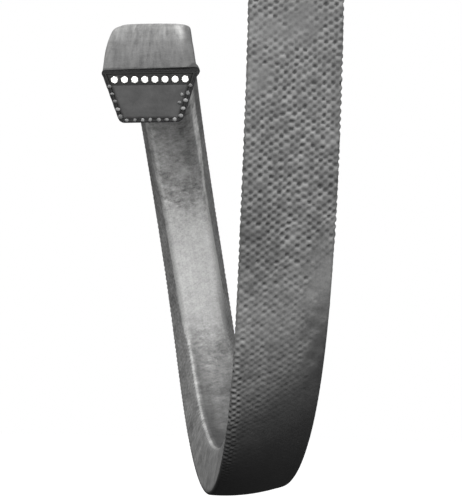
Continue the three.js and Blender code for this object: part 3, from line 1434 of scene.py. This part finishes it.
class CordGrowth(Growth):
    """Grows a cord of twisted yarns on its centre line."""

    NAME = "twisted_cord"
    INPUTS = {
        "Radius": float,
        "Sides": int,
        "Yarns": int,
        "Groove": float,
        "Turns": float,
        "Finish": Material,
    }

    def shape(self) -> Wire:
        """Adds the nodes.

        Returns:
            The cord, with its ends closed.
        """
        line = self.wire("GeometryNodeMeshToCurve", {}, {"Mesh": self.given("Geometry")})
        share = self.wire("GeometryNodeSplineParameter", {}, output="Factor")
        tilt = share * self.given("Turns") * FULL_TURN
        twisted = self.wire("GeometryNodeSetCurveTilt", {}, {"Curve": line, "Tilt": tilt})
        inputs = {"Resolution": self.given("Sides"), "Radius": self.given("Radius")}
        ring = self.wire("GeometryNodeCurvePrimitiveCircle", {"mode": "RADIUS"}, inputs)
        turn = self.wire("GeometryNodeSplineParameter", {}, output="Factor") * FULL_TURN
        lobe = (turn * self.given("Yarns")).maths("COSINE").maths("ABSOLUTE")
        pinch = (lobe - 1.0) * self.given("Groove")
        outline = self.moved(ring, self.wire("GeometryNodeInputPosition"), pinch)
        inputs = {"Curve": twisted, "Profile Curve": outline, "Fill Caps": True}
        return self.wire("GeometryNodeCurveToMesh", {}, inputs)


@dataclass
class Body:
    """What the cover holds: the cords in their bed of gum, and the core."""

    form: Form
    row_gap: float = 2.0
    cord_rows: float = 1.2
    bore_sides: int = 16
    cord_sides: int = 24
    yarns: int = 3
    yarn_turn: float = 11.0
    yarn_groove: float = 0.10
    inset: float = 2 * (Section.PLY + Section.FILM)
    sides: Spacing = Spacing(outer=1.2, flank=1.0, inner=1.0, corner_points=3)

    def _solid(self, length: Length, loops: Sequence[Array]) -> Mesh:
        """A layer of one outline with bores along it.

        Args:
            length: Which length of the belt.
            loops: The layer's outline, then those of the holes through it.

        Returns:
            The closed layer, with each point's place in the section.
        """
        draft = Draft()
        rows = length.rows(self.row_gap)
        walls = [draft.wall(self.form.sweep(loop, rows), k > 0) for k, loop in enumerate(loops)]
        draft.close(loops, walls)
        flat = np.concatenate([np.tile(loop, (len(rows), 1)) for loop in loops])
        return draft.mesh("layer", {"section": np.pad(flat, ((0, 0), (0, 1)))})

    def build_bed(self, gum: Material) -> None:
        """Builds the bed of gum round the cords.

        Args:
            gum: Its finish.
        """
        section = self.form.section
        radii = (section.LEAST_CORNER, section.LEAST_CORNER)
        outline = section.wedge(self.inset, self.inset, section.BED_FLOOR, radii, self.sides)
        bores = [section.cord_bore(k, self.bore_sides) for k in range(section.CORD_COUNT)]
        for length in LENGTHS:
            bed = self._solid(length, [outline.points, *bores])
            piece = finish_piece(f"cord_gum_{length.name}", bed, gum)
            length.hand_over(piece, self.form.run, "cord_bed", Slot.CORD_GUM)

    def build_core(self, rubber: Material) -> None:
        """Builds the compression rubber.

        Args:
            rubber: Its finish.
        """
        section = self.form.section
        top, bottom = section.BED_FLOOR + section.FILM, section.THICKNESS - self.inset
        radii = (section.LEAST_CORNER, section.BOTTOM_CORNER - self.inset)
        outline = section.wedge(self.inset, top, bottom, radii, self.sides)
        for length in LENGTHS:
            core = self._solid(length, [outline.points])
            piece = finish_piece(f"rubber_core_{length.name}", core, rubber)
            length.hand_over(piece, self.form.run, "core", Slot.CORE_RUBBER)

    def build_cords(self, yarn: Material) -> None:
        """Builds the eight tension cords.

        Args:
            yarn: Their finish.
        """
        growth = CordGrowth()
        for length in LENGTHS:
            rows = length.rows(self.cord_rows)
            sizes = {
                "Radius": Section.CORD_RADIUS * MM,
                "Sides": self.cord_sides,
                "Yarns": self.yarns,
                "Groove": self.yarn_groove,
                "Turns": (length.stop - length.start) / self.yarn_turn,
                "Finish": yarn,
            }
            for k in range(Section.CORD_COUNT):
                line = self.form.sweep(self.form.section.cord_centre(k)[None], rows)[:, 0]
                mesh = bpy.data.meshes.new("line")
                mesh.from_pydata(line.tolist(), [(j, j + 1) for j in range(len(line) - 1)], [])
                grown = growth.grow("cord", mesh, sizes)
                piece = finish_piece(f"tension_cord_{k + 1}_{length.name}", grown)
                length.hand_over(piece, self.form.run, f"cord_{k + 1}", Slot.CORD_YARN)


# ---- Cut faces: what shows at the two ends --------------------------------------------------------


class TipGrowth(Growth):
    """Sets small rounded tips on points, each turned and sized a little differently."""

    NAME = "yarn_tips"
    INPUTS = {
        "Tip radius": float,
        "Flatness": float,
        "Spread": float,
        "Seed": int,
        "Finish": Material,
    }

    def shape(self) -> Wire:
        """Adds the nodes.

        Returns:
            The tips, as instances.
        """
        inputs = {"Radius": self.given("Tip radius"), "Subdivisions": 2}
        ball = self.wire("GeometryNodeMeshIcoSphere", {}, inputs)
        flat = self.vector(1.0, 1.0, self.given("Flatness"))
        tip = self.wire("GeometryNodeTransform", {}, {"Geometry": ball, "Scale": flat})
        round_tip = self.wire("GeometryNodeSetShadeSmooth", {}, {"Geometry": tip})
        spread = self.given("Spread")
        limits = {k: self.vector(*[1.0 + spread * sign] * 3) for k, sign in enumerate((-1.0, 1.0))}
        inputs = {**limits, "Seed": self.given("Seed")}
        size = self.wire("FunctionNodeRandomValue", {"data_type": "FLOAT_VECTOR"}, inputs)
        inputs = {"Vector": self.named("facing", "FLOAT_VECTOR")}
        facing = self.wire("FunctionNodeAlignEulerToVector", {"axis": "Z"}, inputs)
        points = self.wire("GeometryNodeMeshToPoints", {}, {"Mesh": self.given("Geometry")})
        inputs = {"Points": points, "Instance": round_tip, "Rotation": facing, "Scale": size}
        return self.wire("GeometryNodeInstanceOnPoints", {}, inputs)


@dataclass
class CutFace:
    """The face of one cut end: the cut ends of the cover's yarns and the cords' filaments."""

    form: Form
    growth: TipGrowth
    name: str
    distance: float
    body: str
    faces_forward: bool
    proud: float = 0.02
    yarn_gap: float = 1.43
    yarn_depth: float = 0.52
    yarn_radius: float = 0.35
    yarn_flatness: float = 0.40
    yarn_spread: float = 0.28
    first_yarn: float = 1.7
    lap_depth: float = 1.45
    lap_start: float = -0.5
    lap_height: float = 1.6
    filament_rings: int = 3
    filament_gap: float = 0.157
    filament_fill: float = 0.80
    filament_spread: float = 0.15
    filament_twist: float = 0.4
    fine: Spacing = Spacing(outer=0.1, flank=0.1, inner=0.1, corner_points=6)

    def _seeds(self, points: Sequence[Array]) -> Mesh:
        """Points on the cut face that tips grow on.

        Args:
            points: Section points, in millimetres.

        Returns:
            A mesh of loose points that know which way the face looks.
        """
        rows = np.array([self.distance])
        out = self.form.run.at(rows).along[0] * (1.0 if self.faces_forward else -1.0)
        placed = self.form.sweep(np.array(points), rows)[0] + out * self.proud * MM
        mesh = bpy.data.meshes.new("seeds")
        mesh.from_pydata(placed.tolist(), [], [])
        facing = mesh.attributes.new("facing", "FLOAT_VECTOR", "POINT")
        facing.data.foreach_set("vector", np.tile(out, len(points)).astype(np.float32))
        return mesh

    def _yarn_points(self) -> list[Array]:
        """Finds where the cover's yarns come out.

        Returns:
            Section points on both flanks and the inner side, then those of the lap.
        """
        loop = self.form.section.outline(self.yarn_depth, self.fine)
        lap = self.form.section.outline(self.lap_depth, self.fine)
        half = loop.around.max()
        reach = Section.TOP_WIDTH / 2 + self.first_yarn
        count = round(2 * (half - reach) / self.yarn_gap)
        marks = np.linspace(reach, 2 * half - reach, count + 1)
        marks = np.where(marks < half, marks, marks - 2 * half)
        lap_marks = np.arange(reach + self.lap_start, reach + self.lap_height, self.yarn_gap)
        found = []
        for outline, places in ((loop, marks), (lap, lap_marks)):
            found += [outline.points[np.argmin(np.abs(outline.around - mark))] for mark in places]
        return found

    def _filament_points(self) -> list[Array]:
        """Finds where the filaments come out.

        Returns:
            Section points in rings on every cord.
        """
        found = []
        for k in range(Section.CORD_COUNT):
            centre = self.form.section.cord_centre(k)
            for ring in range(self.filament_rings + 1):
                count = max(1, 6 * ring)
                turns = FULL_TURN * np.arange(count) / count + self.filament_twist * ring + k
                found.extend(centre + unit(turns) * ring * self.filament_gap)
        return found

    def _ends(self, name: str, slot: Slot, points: list[Array], sizes: Settings) -> None:
        """Builds one kind of ends.

        Args:
            name: The piece's name, without the face's.
            slot: Its material slot; not used.
            points: Where the ends are, as section points.
            sizes: The sizes and the finish of the tips.
        """
        grown = self.growth.grow("ends", self._seeds(points), {"Seed": SEED, **sizes})
        piece = finish_piece(f"{name}_{self.name}", grown)
        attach(piece, self.body)

    def build(self, cover_yarn: Material, cord_yarn: Material) -> None:
        """Builds the yarn ends and the filament ends.

        Args:
            cover_yarn: Finish of the cover's yarns.
            cord_yarn: Finish of the cords.
        """
        yarn = {
            "Tip radius": self.yarn_radius * MM,
            "Flatness": self.yarn_flatness,
            "Spread": self.yarn_spread,
            "Finish": cover_yarn,
        }
        filament = {
            "Tip radius": self.filament_gap * self.filament_fill * MM,
            "Flatness": 1.0,
            "Spread": self.filament_spread,
            "Finish": cord_yarn,
        }
        self._ends("yarn_ends", Slot.OUTER_PLY, self._yarn_points(), yarn)
        self._ends("cord_ends", Slot.CORD_YARN, self._filament_points(), filament)


# ---- Studio ---------------------------------------------------------------------------------------


@dataclass(frozen=True)
class Softbox:
    """A square soft light: where it hangs, how wide it is and its power in watts."""

    name: str
    place: Triple
    size: float
    power: float


@dataclass
class Studio:
    """Camera, soft light and a plain pale floor. Its sizes are in metres."""

    camera_place: Triple = (-0.01947, -0.1833, -0.0892)
    camera_right: Triple = (0.99845, -0.05228, 0.01926)
    camera_up: Triple = (-0.02586, -0.12864, 0.99135)
    lens: float = 77.4
    clip: tuple[float, float] = (0.01, 20.0)
    softboxes: tuple[Softbox, ...] = (
        Softbox("key_light", (-0.22, -0.60, 0.30), 0.35, 9.5),
        Softbox("fill_light", (0.40, -0.50, -0.02), 0.5, 3.5),
    )
    aim: Triple = (-0.01, 0.05, -0.06)
    sky_rise: float = 0.25
    sky_low: float = 0.05
    sky_gain: float = 0.42
    floor_drop: float = 0.16
    floor_reach: float = 4.0
    floor_glow: float = 0.75

    def build_camera(self) -> None:
        """Makes the camera and looks through it."""
        data = bpy.data.cameras.new("camera")
        data.lens = self.lens
        data.clip_start, data.clip_end = self.clip
        camera = bpy.data.objects.new("camera", data)
        right, up = Vector(self.camera_right).normalized(), Vector(self.camera_up).normalized()
        back = right.cross(up)
        turn = Matrix((right, back.cross(right), back)).transposed()
        camera.matrix_world = Matrix.Translation(self.camera_place) @ turn.to_4x4()
        bpy.context.scene.collection.objects.link(camera)
        bpy.context.scene.camera = camera

    def build_sky(self) -> None:
        """Makes a sky that is bright above and dim below, and plain white to the camera."""
        world = bpy.data.worlds.new("sky")
        bpy.context.scene.world = world
        world.use_nodes = True
        tree = Tree(world.node_tree)
        way = tree.wire("ShaderNodeTexCoord", output="Generated")
        height = tree.wire("ShaderNodeSeparateXYZ", {}, {0: way}, output="Z")
        strength = (height + self.sky_rise).clamp() * self.sky_gain + self.sky_low
        white = {"Color": (1.0, 1.0, 1.0, 1.0)}
        sky = tree.wire("ShaderNodeBackground", {}, {**white, "Strength": strength})
        plain = tree.wire("ShaderNodeBackground", {}, {**white, "Strength": 1.0})
        seen = tree.wire("ShaderNodeLightPath", output="Is Camera Ray")
        mixed = tree.wire("ShaderNodeMixShader", {}, {0: seen, 1: sky, 2: plain})
        tree.add("ShaderNodeOutputWorld", {}, {"Surface": mixed})

    def build_softboxes(self) -> None:
        """Hangs the soft lights and turns them to the belt."""
        for box in self.softboxes:
            data = bpy.data.lights.new(box.name, "AREA")
            data.size = box.size
            data.energy = box.power
            lamp = bpy.data.objects.new(box.name, data)
            lamp.location = box.place
            way = Vector(self.aim) - Vector(box.place)
            lamp.rotation_euler = way.to_track_quat("-Z", "Y").to_euler()
            bpy.context.scene.collection.objects.link(lamp)

    def build_floor(self) -> None:
        """Makes a plain pale floor well below the belt, which hangs from its upper end."""
        low, reach = CAD_BOX[0].z - self.floor_drop, self.floor_reach
        corners = [(x * reach, y * reach, low) for x, y in ((-1, -1), (1, -1), (1, 1), (-1, 1))]
        mesh = bpy.data.meshes.new("floor")
        mesh.from_pydata(corners, [], [(0, 1, 2, 3)])
        floor = bpy.data.objects.new("floor", mesh)
        tree = Shader("pale_floor")
        shade = tree.noise(tree.wire("ShaderNodeTexCoord", output="Object"), Grain(3.0))
        colour = tree.between(shade, grey(0.86), grey(0.90))
        constants = {"Emission Color": (1.0, 1.0, 1.0, 1.0), "Emission Strength": self.floor_glow}
        mesh.materials.append(tree.surface(colour, 0.9, constants=constants))
        bpy.context.scene.collection.objects.link(floor)
        floor.visible_diffuse = False
        floor.visible_glossy = False
        floor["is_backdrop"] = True

    def build(self) -> None:
        """Sets the whole studio up."""
        bpy.context.scene.view_settings.view_transform = "Standard"
        self.build_camera()
        self.build_sky()
        self.build_softboxes()
        self.build_floor()


# ---- Belt -----------------------------------------------------------------------------------------


def corners(box: tuple[Vector, Vector]) -> list[list[float]]:
    """A box as two plain lists of numbers."""
    return [list(box[0]), list(box[1])]


def main() -> None:
    """Builds the studio and the belt, and writes how big the belt is."""
    logging.basicConfig(level=logging.INFO, format="%(message)s")
    form = Form(Run(), Section())
    Studio().build()

    cloth = ClothFinish().material()
    gum = RubberFinish("cord_gum", grey(0.008), grey(0.036), edge_shade=0.4).material()
    rubber = RubberFinish("core_rubber", grey(0.020), grey(0.105), edge_shade=0.6).material()
    under = RubberFinish("inner_cloth", grey(0.008), grey(0.030)).material()
    cord_yarn = YarnFinish("cord_yarn", (0.80, 0.79, 0.77), (1.0, 1.0, 0.99)).material()
    cover_yarn = YarnFinish("cover_yarn", grey(0.04), grey(0.20), uneven=2.6).material()

    Cover(form).build(cloth, under)
    body = Body(form)
    body.build_bed(gum)
    body.build_core(rubber)
    body.build_cords(cord_yarn)

    tips = TipGrowth()
    CutFace(form, tips, "upper", 0.0, "front", False).build(cover_yarn, cord_yarn)
    CutFace(form, tips, "cut", Run.LENGTH, "end", True).build(cover_yarn, cord_yarn)

    sizes = {"cad": corners(CAD_BOX), "visual": corners(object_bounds())}
    LOG.info("sizes: %s", sizes)


if __name__ == "__main__":
    main()
